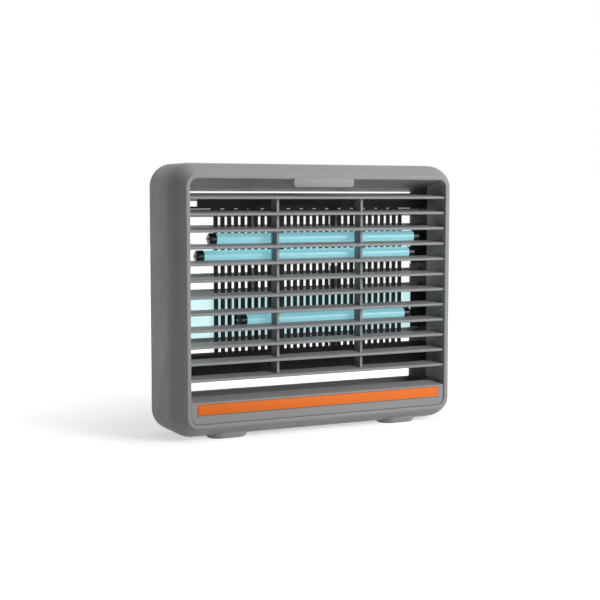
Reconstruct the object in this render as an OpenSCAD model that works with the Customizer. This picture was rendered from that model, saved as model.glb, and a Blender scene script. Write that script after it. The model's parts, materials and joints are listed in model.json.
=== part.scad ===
// Electric bug zapper: a rounded housing open front and back, with louvres on both
// faces, three ultraviolet tubes, an interleaved electrode grid and a pull-out tray.
// Millimetres, +Z up, the front faces -Y. The origin is on the surface that the
// zapper stands on, midway across its width and its depth.

/* [Body] */
// Overall width of the housing
body_w = 375.2; // [346:0.2:452]
// Overall height from the standing surface to the top of the housing
body_h = 320; // [286:0.5:390]
// Overall depth of the housing, front ring to back cover
body_d = 86; // [84:0.5:110]
// Wall thickness of the housing
wall = 3; // [2:0.1:4]
// Width of the flat ring round the front opening
ring_w = 4.4; // [3:0.1:7]
// How far the side stands out beyond the front ring
flare = 13.6; // [12.6:0.1:18]
// Corner radius of the front opening
open_r = 9.5; // [6:0.5:14]
// Depth of the grey tunnel walls behind the front ring
tunnel_d = 44; // [42:0.5:46]
// Height of the housing's underside above the standing surface
ground_gap = 2.7; // [2:0.1:6]

/* [Louvres] */
// Distance from one slat to the next
slat_pitch = 19; // [14:0.1:24]
// Depth of a slat, front to back
slat_d = 21; // [16:0.5:22]
// Thickness of a slat at its outer edge
slat_t = 3.3; // [2:0.1:4]
// Rise of a slat towards the inside
slat_rise = 3; // [0:0.5:5]
// Rise of a rear slat towards the inside
rear_rise = 7.7; // [0:0.1:9]
// How much lower a rear slat's outer edge lies than a front slat's
rear_drop = 2.8; // [0:0.1:5]
// Distance from the opening's top down to the first slat's underside
slat_drop = 23.6; // [20:0.2:30]
// Set-back of a slat's outer edge from the face of the housing
slat_set = 2.5; // [1:0.1:4]
// Thickness of a vertical rib
rib_t = 3; // [2:0.1:5]
// Distance of each vertical rib from the louvre's middle
rib_x = 56; // [40:1:80]

/* [Electrode grid] */
// Width of one electrode bar
bar_w = 5.4; // [4:0.1:6]
// Distance from one bar to the next
bar_pitch = 8.66; // [7.2:0.02:10.4]
// Thickness of an electrode bar
bar_t = 1.5; // [1:0.1:2]
// Air gap between a bar's free end and the opposite rail
bar_gap = 6; // [4:0.5:8]

/* [Lamps] */
// Diameter of the lamp glass
tube_d = 13.4; // [11:0.1:16.2]
// Length of the upper lamp over its caps
lamp_1_len = 284.5; // [240:0.5:290]
// Length of the middle lamp over its caps
lamp_2_len = 294; // [250:0.5:300]
// Length of the lower lamp over its caps
lamp_3_len = 233.5; // [200:0.5:260]
// Length of a lamp cap
cap_l = 7.5; // [5:0.5:12]

/* [Tray] */
// Height of the tray's front panel
tray_h = 25; // [20:0.5:31]
// How far the tray pulls out
tray_travel = 60; // [30:1:62]
// Height of the coloured strip
strip_h = 12.2; // [8:0.2:14]

/* [Hidden] */

GREY = [0.42, 0.42, 0.43];
BLACK = [0.06, 0.06, 0.06];
eps = 0.01;
fit = 0.2;                              // gap between pieces that are put together

// Section of the housing
edge_out = ring_w + flare;              // opening edge to the outer face
flare_a = 45;                           // slope where the side leaves the ring
flare_r = flare / (1 - cos(flare_a));
flare_d = flare_r * sin(flare_a);
back_r = 2.6;                           // rounding of the rear edge
tunnel_t = 2.5;
open_w = body_w - 2 * edge_out;
open_top = body_h - edge_out;
open_bot = ground_gap + edge_out;
open_h = open_top - open_bot;
open_z = (open_top + open_bot) / 2;
front = -body_d / 2;

// Tray
tray_set = 1.2;
tray_d = 56;
tray_t = 2.2;
tray_gap = 0.6;
lip_d = 19;
lip_rise = 4.2;
tray_w = open_w - 2 * tray_gap;
tray_bot = open_bot + tray_gap;
tray_top = tray_bot + tray_h;
strip_w = tray_w - 2 * 7.6;
strip_t = 1.6;
strip_z = tray_top - 2.7 - strip_h / 2;

// Ceiling that slopes down to the back window
win_top = open_top - 14.2;
ceil_d = body_d - 4.2;
ceil_t = 2.2;
win_bot = tray_top + 0.4;
win_l = -open_w / 2;
win_r = open_w / 2;
cover_t = 4;
cover_in = body_d - cover_t;

// Slats: as many as fit above the tray
slat_z0 = open_top - slat_drop;
slat_foot = 12;                         // least height of the lowest slat above the tray
slat_count = floor((slat_z0 - tray_top - lip_rise - slat_foot) / slat_pitch) + 1;
rib_set = 10;
rib_d = 15.6;
rear_rib_mid = -8;

// Lamps: depth of the axis, drop of each below the first slat, left end of each
lamp_gap = 0.7;                         // air between the ribs and the tubes
lamp_d = rib_set + rib_d + lamp_gap + tube_d / 2;
lamp_drop = [46.3, 66, 142.3];
lamp_z = [for (drop = lamp_drop) slat_z0 - drop];
lamp_x = [-135, -151, -97];
lamp_len = [lamp_1_len, lamp_2_len, lamp_3_len];
cap_r = tube_d / 2 + 0.4;
pin_r = 1.2;
pin_l = 3;
post_x = [-42, 70];
post_w = 6;
clip_t = 1.2;
post_d = lamp_d + (tube_d + clip_t) / 2;
lead_r = 0.9;
lead_d = lamp_d + cap_r + lead_r;
rail_d = lead_d + lead_r + 3.1;

// Grid, behind the lamps
rail_t = 6;
bar_d = rail_d + 2;
grid_from = win_l + 44.5;
grid_to = win_r - 32.1;
bar_count = 2 * floor(((grid_to - grid_from - bar_w) / bar_pitch + 1) / 2);
grid_w = (bar_count - 1) * bar_pitch + bar_w;
grid_l = (grid_from + grid_to - grid_w) / 2;
top_rail_bot = slat_z0 - 11.2;
top_rail_h = 13.7;
bot_rail_bot = win_bot + 16.8;
bot_rail_h = 32;
rail_seat = 4;                          // how far the free ends sit in the lower rail
bus_h = 5;
lead_z = [top_rail_bot + 5, bot_rail_bot + 8];
lug_w = 10;
lug_h = 6;
slot_t = bar_t + 2 * 0.1;

// Reflectors
refl_d = rail_d + rail_t + 1.5;
refl_t = 1;
refl_h = 48;
refl_flange = 6;
refl_r = win_r - 18.6;                  // right end, short of the frame's wall
refl_drop = [82.1, 163.9];
refl_z = [for (drop = refl_drop) slat_z0 - drop];

// Feet
foot_x = 115;
foot_d = 30;
foot_half = 8.5;
foot_h = 8.8;
foot_r1 = 15;
foot_r2 = 18.5;
rear_foot_d = body_d - 18;
rear_foot_r = 8;

// Screw bosses for the back cover
boss_r = 4.4;
boss_p = 9.2;
boss_from = 15;
screw_r = 1.45;
head_r = 3;
boss_x = open_w / 2 + boss_p;
boss_z = [open_bot + 20, open_z, open_top - 20];

// Inner frame, and the electronics compartment in the base behind the tray
box_t = 2.4;
frame_d = max(tunnel_d + fit, lead_d + lead_r + 0.5);
base_d = tray_set + tray_d + 1;
base_mid = (open_bot + win_bot - box_t) / 2;
board_d = base_d + box_t + 3;
board_t = 1.6;
board_x0 = -100;
board_w = 160;
board_h = 21;
board_screw_x = [board_x0 + 8, board_x0 + board_w - 8];
inlet_x = 146;
inlet_w = 24;
inlet_h = 16;
inlet_d = 20;
recess_d = 14;
recess_r = 4.4;
pin_x = 4.3;
pin_seat = 4;
inlet_pin_r = 1.2;
switch_x = inlet_x - 36;
switch_w = 22.6;
switch_h = 16.6;
well_t = 1.8;
rocker_r = 1.0;
rocker_axis = 8;                        // pivot depth below the back face
rocker_tilt = 10;

// High-voltage leads: down the hollow right side between the frame and the bosses
lead_in_z = [base_mid - 5, base_mid + 5];
lead_down_d = [bar_d + bar_t / 2 + 4, bar_d + bar_t / 2];
lead_hv_r = 1.1;
side_x = open_w / 2 + box_t + lead_hv_r + 0.15;
lead_in_d = board_d + 6;
lead_in_x = open_w / 2 - 4;

// Depth behind the front ring to the row's Y
function fy(d) = front + d;
function bar_x(i) = grid_l + bar_w / 2 + i * bar_pitch;
function ceil_z(d) = open_top - (open_top - win_top) * d / ceil_d;

// Points of the side's curve, from the ring outwards and back, as [outwards, depth]
function flare_pts(r, p0, d0) = [for (i = [0:14])
    let (a = flare_a * (1 - i / 14)) [p0 + r * (cos(a) - cos(flare_a)), d0 + r * (sin(flare_a) - sin(a))]];
function back_pts(p1, d1, r) = [for (i = [0:5])
    let (a = 90 * i / 5) [p1 - r + r * cos(a), d1 - r + r * sin(a)]];

// Carries a section round the opening. Its x is outwards from the opening's edge, its y is minus the depth.
module round_opening(w, h, r) {
    translate([0, front, open_z]) rotate([90, 0, 0]) for (q = [0:3]) {
        half = q % 2 == 0 ? w / 2 : h / 2;
        run = q % 2 == 0 ? h - 2 * r : w - 2 * r;
        rotate([0, 0, 90 * q]) {
            translate([half, 0, 0]) rotate([90, 0, 0])
                linear_extrude(run, center = true) children();
            translate([half - r, run / 2, 0])
                rotate_extrude(angle = 90, $fn = 64) translate([r, 0]) children();
        }
    }
}

module shell_section() {
    outer = concat([[0, 0]], flare_pts(flare_r, ring_w, 0), back_pts(edge_out, body_d, back_r));
    inner = [[edge_out - wall, body_d], [edge_out - wall, flare_d + 2],
        [edge_out - wall - 2, flare_d / 2], [ring_w + 1.5, wall + 2], [tunnel_t, wall],
        [tunnel_t, tunnel_d], [0, tunnel_d]];
    mirror([0, 1]) polygon(concat(outer, inner));
}

// A plate drawn in depth and height and carried along X from x0 to x1
module side_plate(x0, x1) {
    translate([x0, front, 0]) rotate([90, 0, 90]) linear_extrude(x1 - x0) children();
}

// A block from x0 to x1, from depth d0 to d1 and from z0 to z1
module block(x0, x1, d0, d1, z0, z1) {
    translate([x0, fy(d0), z0]) cube([x1 - x0, d1 - d0, z1 - z0]);
}

module rounded_plate(w, h, r, d0, d1) {
    translate([0, fy(d1), open_z]) rotate([90, 0, 0]) linear_extrude(d1 - d0)
        union() {
            square([w - 2 * r, h], center = true);
            square([w, h - 2 * r], center = true);
            for (sx = [-1, 1], sz = [-1, 1])
                translate([sx * (w / 2 - r), sz * (h / 2 - r)]) circle(r, $fn = 64);
        }
}

module boss(x, z) {
    translate([x, fy(boss_from), z]) rotate([-90, 0, 0])
        cylinder(h = cover_in - fit - boss_from, r = boss_r, $fn = 40);
}

module badge_tab() {
    w = 80;
    h = 9.6;
    r = 4;
    union() {
        block(-w / 2, w / 2, 0, 2.4, open_top - h + r, open_top + 1);
        block(-w / 2 + r, w / 2 - r, 0, 2.4, open_top - h, open_top - h + r + eps);
        for (s = [-1, 1])
            translate([s * (w / 2 - r), front, open_top - h + r])
                rotate([-90, 0, 0]) cylinder(h = 2.4, r = r, $fn = 40);
    }
}

module housing() {
    color(GREY) difference() {
        union() {
            round_opening(open_w, open_h, open_r) shell_section();
            side_plate(-open_w / 2, open_w / 2)
                polygon([[0.6, ceil_z(0.6)], [ceil_d, ceil_z(ceil_d)],
                    [ceil_d, ceil_z(ceil_d) + ceil_t], [0.6, ceil_z(0.6) + ceil_t]]);
            badge_tab();
            for (s = [-1, 1], z = boss_z) {
                boss(s * boss_x, z);
                block(min(s * boss_x, s * (boss_x + edge_out - wall - boss_p + 1)),
                    max(s * boss_x, s * (boss_x + edge_out - wall - boss_p + 1)),
                    flare_d, cover_in - fit, z - 1, z + 1);
            }
        }
        for (s = [-1, 1], z = boss_z)
            translate([s * boss_x, fy(boss_from + 30), z]) rotate([-90, 0, 0])
                cylinder(h = body_d, r = screw_r + 0.05, $fn = 24);
    }
}

module rear_cover() {
    mouth = edge_out - wall - fit;
    color(GREY) difference() {
        union() {
            rounded_plate(open_w + 2 * mouth, open_h + 2 * mouth, open_r + mouth, cover_in, body_d);
            block(switch_x - switch_w / 2 - well_t, switch_x + switch_w / 2 + well_t, body_d - 8, body_d - 1,
                base_mid - switch_h / 2 - well_t, base_mid + switch_h / 2 + well_t);
        }
        block(win_l, win_r, cover_in - 1, body_d + 1, win_bot, win_top);
        for (s = [-1, 1], z = boss_z) translate([s * boss_x, fy(cover_in - 1), z]) rotate([-90, 0, 0]) {
            cylinder(h = 10, r = screw_r + 0.3, $fn = 24);
            translate([0, 0, cover_t - 1.1]) cylinder(h = 5, r = head_r + 0.3, $fn = 32);
        }
        block(inlet_x - inlet_w / 2 - 0.1, inlet_x + inlet_w / 2 + 0.1, cover_in - 1, body_d + 1,
            base_mid - inlet_h / 2 - 0.1, base_mid + inlet_h / 2 + 0.1);
        block(switch_x - switch_w / 2 - 0.1, switch_x + switch_w / 2 + 0.1, body_d - 6, body_d + 1,
            base_mid - switch_h / 2 - 0.1, base_mid + switch_h / 2 + 0.1);
        block(switch_x - switch_w / 2 + 1.7, switch_x + switch_w / 2 - 1.7, body_d - 9, body_d - 5,
            base_mid - switch_h / 2 + 1.7, base_mid + switch_h / 2 - 1.7);
    }
}

function slat_z(k) = slat_z0 - k * slat_pitch;

// Section of one slat in depth from its outer face and height, let out all round by the clearance c
module slat_section(k, rise, c = 0) {
    z = slat_z(k);
    inner = slat_set + slat_d;
    polygon([[slat_set - c, z - c], [inner + c, z + rise - c],
        [inner + c, z + rise + slat_t * 0.8 + c], [slat_set + 1, z + slat_t + c],
        [slat_set - c, z + slat_t - 0.6 + c]]);
}

// The slats of one louvre, from x0 to x1. Depths run from its outer face.
module slats(x0, x1, rise) {
    for (k = [0:slat_count - 1])
        translate([x0, 0, 0]) rotate([90, 0, 90]) linear_extrude(x1 - x0) slat_section(k, rise);
}

// The upright ribs of one louvre, slotted for the slats that cross them
module ribs(middle, rise) {
    for (x = [middle - rib_x, middle + rib_x]) difference() {
        translate([x - rib_t / 2, rib_set, slat_z(slat_count - 1) + slat_t / 2])
            cube([rib_t, rib_d, (slat_count - 1) * slat_pitch + slat_t / 2]);
        for (k = [0:slat_count - 1]) translate([x - rib_t, 0, 0]) rotate([90, 0, 90])
            linear_extrude(2 * rib_t) slat_section(k, rise, 0.05);
    }
}

module front_slats() {
    color(GREY) translate([0, front, 0]) slats(-open_w / 2 + fit / 2, open_w / 2 - fit / 2, slat_rise);
}

module front_ribs() {
    color(GREY) translate([0, front, 0]) ribs(0, slat_rise);
}

module rear_slats() {
    color(GREY) translate([0, -front, -rear_drop]) mirror([0, 1, 0]) slats(win_l + fit / 2, win_r - fit / 2, rear_rise);
}

module rear_ribs() {
    color(GREY) translate([0, -front, -rear_drop]) mirror([0, 1, 0]) ribs(rear_rib_mid, rear_rise);
}

// Outline in depth and height of a chassis wall that stands on z0 and stops under the ceiling
module chassis_wall(x0, x1, z0) {
    side_plate(x0, x1) polygon([[frame_d, z0], [cover_in - fit, z0],
        [cover_in - fit, ceil_z(cover_in) - fit], [frame_d, ceil_z(frame_d) - fit]]);
}

module inner_frame() {
    floor_z = open_bot - tunnel_t;
    color(BLACK) difference() {
        union() {
            chassis_wall(win_l - box_t, win_l, floor_z);
            chassis_wall(win_r, win_r + box_t, floor_z);
            block(win_l - box_t, win_r + box_t, frame_d, cover_in - fit, floor_z, open_bot);
            block(win_l - 1, win_r + 1, base_d, base_d + box_t, open_bot - 1, win_bot);
            block(win_l - 1, win_r + 1, base_d, cover_in - fit, win_bot - box_t, win_bot);
            for (z = refl_z) block(refl_r - 6, win_r + 1, refl_d + refl_t, refl_d + refl_t + box_t,
                z + refl_t + fit, z + refl_h - refl_t - fit);
            for (x = board_screw_x) translate([x, fy(base_d + 1), base_mid])
                rotate([-90, 0, 0]) cylinder(h = board_d - base_d - 1, r = 3.5, $fn = 32);
        }
        for (x = board_screw_x) translate([x, fy(base_d + box_t), base_mid])
            rotate([-90, 0, 0]) cylinder(h = 20, r = 1.25, $fn = 24);
        for (z = lead_z) translate([win_r - 1, fy(bar_d + bar_t / 2), z]) rotate([0, 90, 0])
            cylinder(h = box_t + 2, r = lead_hv_r + 0.1, $fn = 24);
        for (z = lead_in_z) translate([win_r - 1, fy(lead_in_d), z]) rotate([0, 90, 0])
            cylinder(h = box_t + 2, r = lead_hv_r + 0.1, $fn = 24);
    }
}

module grid_top_rail() {
    tongue = 2.7;
    color(BLACK) difference() {
        union() {
            block(grid_l - 19.5, win_r, rail_d, rail_d + rail_t, top_rail_bot, top_rail_bot + top_rail_h);
            block(win_l, grid_l, rail_d, rail_d + rail_t, top_rail_bot, top_rail_bot + tongue);
            for (i = [0:2:bar_count - 1])
                block(bar_x(i) - lug_w / 2, bar_x(i) + lug_w / 2, rail_d, rail_d + rail_t,
                    top_rail_bot - lug_h, top_rail_bot + eps);
        }
        block(grid_l - fit, grid_l + grid_w + fit, bar_d - 0.1, bar_d + bar_t + 0.1,
            top_rail_bot - lug_h - 1, top_rail_bot + bus_h + 2);
        translate([grid_l + grid_w - 1, fy(bar_d + bar_t / 2), lead_z[0]])
            rotate([0, 90, 0]) cylinder(h = open_w, r = lead_hv_r + 0.1, $fn = 24);
    }
}

module grid_bottom_rail() {
    color(BLACK) difference() {
        block(win_l, win_r, rail_d, rail_d + rail_t, bot_rail_bot, bot_rail_bot + bot_rail_h);
        block(grid_l - fit, grid_l + grid_w + fit, bar_d - 0.1, bar_d + bar_t + 0.1,
            bot_rail_bot + 4, bot_rail_bot + bot_rail_h + 1);
        translate([grid_l + grid_w - 1, fy(bar_d + bar_t / 2), lead_z[1]])
            rotate([0, 90, 0]) cylinder(h = open_w, r = lead_hv_r + 0.1, $fn = 24);
    }
}

module comb(first, z_bus, z0, z1) {
    union() {
        block(grid_l, grid_l + grid_w, bar_d, bar_d + bar_t, z_bus, z_bus + bus_h);
        for (i = [first:2:bar_count - 1])
            block(bar_x(i) - bar_w / 2, bar_x(i) + bar_w / 2, bar_d, bar_d + bar_t, z0, z1);
    }
}

module return_comb() {
    color(BLACK) comb(0, top_rail_bot + 2, bot_rail_bot + bot_rail_h - rail_seat, top_rail_bot + 4);
}

module live_comb() {
    color(BLACK) comb(1, bot_rail_bot + 4, bot_rail_bot + 5, top_rail_bot - bar_gap);
}

module reflector(z) {
    color("white") union() {
        block(win_l, refl_r, refl_d, refl_d + refl_t, z, z + refl_h);
        for (z1 = [z, z + refl_h - refl_t])
            block(win_l, refl_r, refl_d, refl_d + refl_flange, z1, z1 + refl_t);
    }
}

module upper_reflector() { reflector(refl_z[0]); }

module lower_reflector() { reflector(refl_z[1]); }

// Upright carrier with one spring clip for each lamp
module lamp_post(x) {
    color(BLACK) difference() {
        union() {
            block(x - post_w / 2, x + post_w / 2, post_d, rail_d, bot_rail_bot + 2,
                top_rail_bot + top_rail_h - 2);
            for (z = lamp_z) translate([x - post_w / 2, fy(lamp_d), z]) rotate([0, 90, 0])
                cylinder(h = post_w, r = tube_d / 2 + clip_t, $fn = 48);
        }
        for (z = lamp_z) {
            translate([x - post_w, fy(lamp_d), z]) rotate([0, 90, 0])
                cylinder(h = 2 * post_w, r = tube_d / 2 + 0.05, $fn = 48);
            block(x - post_w, x + post_w, lamp_d - 20, lamp_d - 2, z - 12, z + 12);
            block(x - post_w, x + post_w, lead_d - lead_r - 0.1, rail_d - 1, z - lead_r - 0.1, z + lead_r + 0.1);
        }
    }
}

module lamp_post_left() { lamp_post(post_x[0]); }

module lamp_post_right() { lamp_post(post_x[1]); }

module along_lamp(i, x) {
    translate([lamp_x[i] + x, fy(lamp_d), lamp_z[i]]) rotate([0, 90, 0]) children();
}

module lamp_glass(i) {
    color([0.5, 0.83, 0.87]) along_lamp(i, cap_l)
        difference() {
            cylinder(h = lamp_len[i] - 2 * cap_l, r = tube_d / 2, $fn = 64);
            translate([0, 0, -1]) cylinder(h = lamp_len[i], r = tube_d / 2 - 0.7, $fn = 64);
        }
}

module lamp_caps(i) {
    color(BLACK) for (s = [0, 1])
        along_lamp(i, s * lamp_len[i]) mirror([0, 0, s])
            rotate_extrude($fn = 64) difference() {
                polygon([[0, 0], [cap_r - 2, 0], [cap_r - 0.6, 0.6], [cap_r, 2], [cap_r, cap_l + 1.5],
                    [tube_d / 2 + 0.05, cap_l + 1.5], [tube_d / 2 + 0.05, cap_l], [0, cap_l]]);
                translate([-1, -1]) square([1 + pin_r, 4]);
            }
}

module lamp_pins(i) {
    color("silver") for (s = [0, 1])
        along_lamp(i, s * lamp_len[i]) mirror([0, 0, s])
            translate([0, 0, -pin_l]) cylinder(h = pin_l + 3, r = pin_r, $fn = 32);
}

module upper_lamp_glass() { lamp_glass(0); }

module middle_lamp_glass() { lamp_glass(1); }

module lower_lamp_glass() { lamp_glass(2); }

module upper_lamp_caps() { lamp_caps(0); }

module middle_lamp_caps() { lamp_caps(1); }

module lower_lamp_caps() { lamp_caps(2); }

module upper_lamp_pins() { lamp_pins(0); }

module middle_lamp_pins() { lamp_pins(1); }

module lower_lamp_pins() { lamp_pins(2); }

// Insulated leads that run along the back of each tube, cap to cap
module lamp_wiring() {
    color(BLACK) for (i = [0:2])
        translate([lamp_x[i] + 1, fy(lead_d), lamp_z[i]]) rotate([0, 90, 0])
            cylinder(h = lamp_len[i] - 2, r = lead_r - 0.02, $fn = 24);
}

module tray_outline(w, z0, z1, r) {
    translate([0, (z0 + z1 + r) / 2]) square([w, z1 - z0 - r], center = true);
    translate([0, z0 + r / 2]) square([w - 2 * r, r], center = true);
    for (s = [-1, 1]) translate([s * (w / 2 - r), z0 + r]) circle(r, $fn = 48);
}

module collecting_tray() {
    r = open_r - tray_gap;
    top = tray_top + lip_rise;
    color(GREY) difference() {
        translate([0, fy(tray_set + tray_d), 0]) rotate([90, 0, 0])
            linear_extrude(tray_d) tray_outline(tray_w, tray_bot, top, r);
        side_plate(-tray_w, tray_w)
            polygon([[0, tray_top], [tray_set, tray_top], [lip_d, top], [lip_d, top + 1], [0, top + 1]]);
        side_plate(-tray_w / 2 + tray_t, tray_w / 2 - tray_t)
            polygon([[tray_set + tray_t + 1, tray_bot + tray_t + 2.5],
                [tray_set + tray_t + 3, tray_bot + tray_t],
                [tray_set + tray_d - tray_t, tray_bot + tray_t],
                [tray_set + tray_d - tray_t, top + 1], [lip_d + 1, top + 1], [lip_d + 1, top - tray_t],
                [tray_set + tray_t + 1, tray_top - tray_t + 0.4]]);
        block(-strip_w / 2 - 0.4, strip_w / 2 + 0.4, tray_set - 1, tray_set + strip_t - 0.4,
            strip_z - strip_h / 2 - 0.4, strip_z + strip_h / 2 + 0.4);
    }
}

module tray_strip() {
    color([0.94, 0.45, 0.18])
        block(-strip_w / 2, strip_w / 2, tray_set - 0.4, tray_set + strip_t - 0.4,
            strip_z - strip_h / 2, strip_z + strip_h / 2);
}

// Everything inside the housing's lower run, which the feet are cut to fit under
module underside() {
    outer = concat(flare_pts(flare_r, ring_w, 0), [[edge_out, body_d]]);
    side_plate(-open_w / 2, open_w / 2)
        polygon(concat([for (p = outer) [p[1], open_bot - p[0] - 0.05]],
            [[body_d, open_bot], [0, open_bot]]));
}

module front_foot(x) {
    color(GREY) difference() {
        hull() for (s = [-1, 1]) translate([x + s * foot_half, fy(foot_d), 0])
            cylinder(h = foot_h, r1 = foot_r1, r2 = foot_r2, $fn = 32);
        underside();
    }
}

module rear_foot(x) {
    color(BLACK) translate([x, fy(rear_foot_d), 0])
        cylinder(h = ground_gap, r1 = rear_foot_r, r2 = rear_foot_r + 1, $fn = 48);
}

module front_foot_left() { front_foot(-foot_x); }

module front_foot_right() { front_foot(foot_x); }

module rear_foot_left() { rear_foot(-foot_x); }

module rear_foot_right() { rear_foot(foot_x); }

module control_board() {
    color("darkgreen") difference() {
        block(board_x0, board_x0 + board_w, board_d, board_d + board_t,
            base_mid - board_h / 2, base_mid + board_h / 2);
        for (x = board_screw_x) translate([x, fy(board_d - 1), base_mid])
            rotate([-90, 0, 0]) cylinder(h = 5, r = 1.6, $fn = 24);
    }
}

module on_board(x) {
    translate([board_x0 + x, fy(board_d + board_t), base_mid]) children();
}

module hv_transformer() {
    color("gold") on_board(42) union() {
        translate([-12, 0, -9]) cube([24, 14, 18]);
        translate([-8, 2, -10]) cube([16, 10, 20]);
    }
}

module lamp_ballast() {
    color("dimgray") on_board(104) translate([-26, 0, -10]) cube([52, 14, 20]);
}

module board_capacitors() {
    color("royalblue") for (x = [66, 140])
        on_board(x) rotate([-90, 0, 0]) cylinder(h = 12, r = 5, $fn = 32);
}

module fuse() {
    color("ivory") on_board(20) translate([-5, 3, -4]) rotate([0, 90, 0])
        cylinder(h = 14, r = 3, $fn = 32);
}

module frame_screws() {
    color("silver") for (x = board_screw_x)
        translate([x, fy(board_d + board_t), base_mid]) rotate([-90, 0, 0]) union() {
            cylinder(h = 1.8, r = 2.8, $fn = 32);
            translate([0, 0, -4.4]) cylinder(h = 4.9, r = 1.2, $fn = 24);
        }
}

// High-voltage leads from the grid's two bus strips: out to the side, down it and into the base
module hv_lead(z, down_d, in_z) {
    start = grid_l + grid_w + 0.1;
    bus_d = bar_d + bar_t / 2;
    union() {
        translate([start, fy(bus_d), z]) rotate([0, 90, 0])
            cylinder(h = side_x + 0.9 - start, r = lead_hv_r, $fn = 24);
        if (down_d > bus_d) translate([side_x, fy(bus_d - 0.7), z]) rotate([-90, 0, 0])
            cylinder(h = down_d - bus_d + 1.4, r = lead_hv_r - 0.06, $fn = 24);
        translate([side_x, fy(down_d), in_z - 0.8])
            cylinder(h = z - in_z + 1.6, r = lead_hv_r - 0.1, $fn = 24);
        translate([side_x, fy(down_d - 0.7), in_z]) rotate([-90, 0, 0])
            cylinder(h = lead_in_d - down_d + 1.4, r = lead_hv_r - 0.14, $fn = 24);
        translate([lead_in_x, fy(lead_in_d), in_z]) rotate([0, 90, 0])
            cylinder(h = side_x + 0.7 - lead_in_x, r = lead_hv_r - 0.18, $fn = 24);
    }
}

module hv_leads() {
    color("firebrick") for (i = [0, 1]) hv_lead(lead_z[i], lead_down_d[i], lead_in_z[i]);
}

module mains_wiring() {
    run = inlet_x - switch_x;
    back = fy(body_d - inlet_d - 3);
    color("saddlebrown") for (s = [-1, 1]) translate([switch_x, back, base_mid + s * 3]) union() {
        translate([-1.6, 0, 0]) rotate([0, 90, 0]) cylinder(h = run + 3.2, r = 1.3, $fn = 24);
        rotate([-90, 0, 0]) cylinder(h = 3, r = 1, $fn = 24);
        translate([run, 0, 0]) rotate([-90, 0, 0]) cylinder(h = 3, r = 1, $fn = 24);
    }
}

// Two-pin inlet: a recess with round ends, and a hole in its floor for each pin
module inlet_socket() {
    color(BLACK) difference() {
        block(inlet_x - inlet_w / 2, inlet_x + inlet_w / 2, body_d - inlet_d, body_d,
            base_mid - inlet_h / 2, base_mid + inlet_h / 2);
        block(inlet_x - pin_x, inlet_x + pin_x, body_d - recess_d, body_d + 1,
            base_mid - recess_r, base_mid + recess_r);
        for (s = [-1, 1]) translate([inlet_x + s * pin_x, fy(body_d - recess_d), base_mid])
            rotate([-90, 0, 0]) {
                cylinder(h = recess_d + 1, r = recess_r, $fn = 40);
                translate([0, 0, -pin_seat]) cylinder(h = recess_d, r = inlet_pin_r, $fn = 24);
            }
    }
}

module inlet_pins() {
    color("silver") for (s = [-1, 1])
        translate([inlet_x + s * pin_x, fy(body_d - recess_d - pin_seat), base_mid])
            rotate([-90, 0, 0]) cylinder(h = recess_d, r = inlet_pin_r, $fn = 24);
}

module switch_body() {
    inner_w = 17.4;
    inner_h = 10.4;
    color(BLACK) difference() {
        union() {
            block(switch_x - switch_w / 2, switch_x + switch_w / 2, body_d - 6, body_d - 4.6,
                base_mid - switch_h / 2, base_mid + switch_h / 2);
            block(switch_x - switch_w / 2 + 1.8, switch_x + switch_w / 2 - 1.8, body_d - 20, body_d - 6,
                base_mid - switch_h / 2 + 1.8, base_mid + switch_h / 2 - 1.8);
        }
        difference() {
            block(switch_x - inner_w / 2, switch_x + inner_w / 2, body_d - 14, body_d,
                base_mid - inner_h / 2, base_mid + inner_h / 2);
            translate([switch_x, fy(body_d - rocker_axis), base_mid - inner_h])
                cylinder(h = 2 * inner_h, r = rocker_r, $fn = 32);
        }
    }
}

// Paddle drawn level as [along X, distance from the pivot], then tilted to its off position
module power_rocker() {
    color(BLACK) translate([switch_x, fy(body_d - rocker_axis), base_mid])
        rotate([0, 0, rocker_tilt]) difference() {
            translate([0, 0, -4.9]) linear_extrude(9.8)
                polygon([[-5.6, -2.4], [-7.4, 5.4], [0, 4.6], [7.4, 5.4], [5.6, -2.4], [0, -3.4]]);
            translate([0, 0, -10]) cylinder(h = 20, r = rocker_r + 0.06, $fn = 32);
        }
}

module cover_screws() {
    color("silver") for (s = [-1, 1], z = boss_z)
        translate([s * boss_x, fy(cover_in), z]) rotate([-90, 0, 0]) union() {
            difference() {
                translate([0, 0, cover_t - 2.1]) cylinder(h = 1.8, r = head_r, $fn = 32);
                translate([-2, -0.4, cover_t - 1.1]) cube([4, 0.8, 2]);
                translate([-0.4, -2, cover_t - 1.1]) cube([0.8, 4, 2]);
            }
            translate([0, 0, -12]) cylinder(h = 14, r = screw_r, $fn = 24);
        }
}

housing();
rear_cover();
front_slats();
front_ribs();
rear_slats();
rear_ribs();
inner_frame();
grid_top_rail();
grid_bottom_rail();
return_comb();
live_comb();
upper_reflector();
lower_reflector();
lamp_post_left();
lamp_post_right();
upper_lamp_glass();
middle_lamp_glass();
lower_lamp_glass();
upper_lamp_caps();
middle_lamp_caps();
lower_lamp_caps();
upper_lamp_pins();
middle_lamp_pins();
lower_lamp_pins();
lamp_wiring();
collecting_tray();
tray_strip();
front_foot_left();
front_foot_right();
rear_foot_left();
rear_foot_right();
control_board();
hv_transformer();
lamp_ballast();
board_capacitors();
fuse();
hv_leads();
mains_wiring();
inlet_socket();
inlet_pins();
switch_body();
power_rocker();
cover_screws();
frame_screws();
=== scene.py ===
"""Looks of an electric bug zapper, built around its packed construction model."""

import json
from math import cos, radians, sin

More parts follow.
